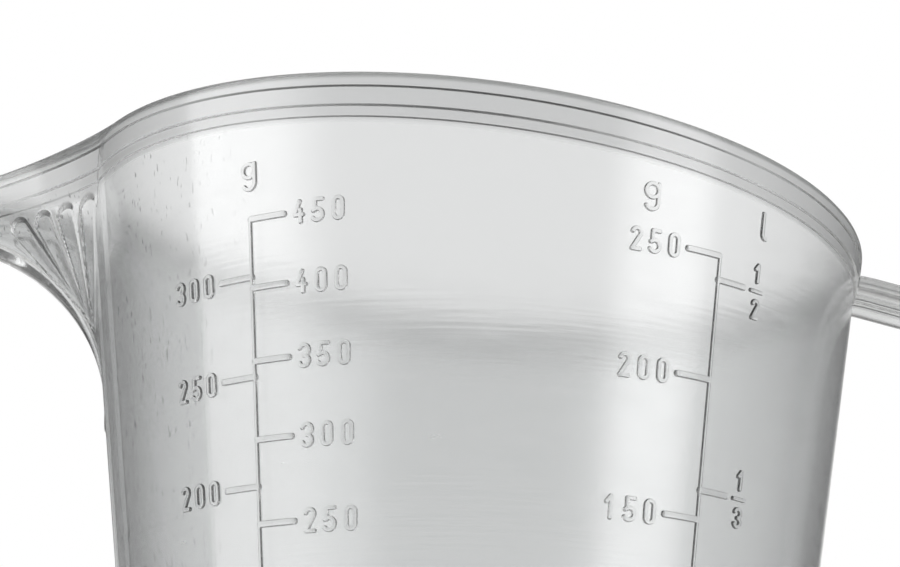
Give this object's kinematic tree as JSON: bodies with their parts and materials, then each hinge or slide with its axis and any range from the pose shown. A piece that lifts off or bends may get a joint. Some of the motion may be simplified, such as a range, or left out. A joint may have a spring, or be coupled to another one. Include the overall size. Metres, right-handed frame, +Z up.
{
  "type": "measuring jug",
  "caption": "Clear tapered half-litre plastic jug with a tilted stepped rim, a fluted pouring spout, a strap handle and raised measuring scales.",
  "frame": {"origin": "centre of the foot ring, on the plane that the jug stands on", "axes": "+Z up along the jug's axis, -X towards the spout, +X towards the handle, the scales on the -Y side"},
  "size_m": [0.1503, 0.106, 0.1198],
  "materials": {
    "clear_body": "clear moulded polystyrene, polished, with fine scuffs",
    "raised_marks": "clear moulded polystyrene, raised"
  },
  "bodies": {
    "root": {"foot_ring": "clear_body", "cup_floor": "clear_body", "cup_wall": "clear_body", "rim_under_band": "clear_body", "rim_band": "clear_body", "rim_bead": "clear_body", "spout_shell": "clear_body", "spout_under_band": "clear_body", "spout_band": "clear_body", "spout_bead": "clear_body", "handle_strap": "clear_body", "handle_rib": "clear_body", "scale_line_left": "raised_marks", "scale_line_right": "raised_marks", "ticks_left_inner": "raised_marks", "ticks_left_outer": "raised_marks", "ticks_right_inner": "raised_marks", "ticks_litre": "raised_marks", "numbers_left_inner": "raised_marks", "numbers_left_outer": "raised_marks", "numbers_right_inner": "raised_marks", "fractions_litre": "raised_marks", "unit_signs": "raised_marks"}
  },
  "joints": []
}
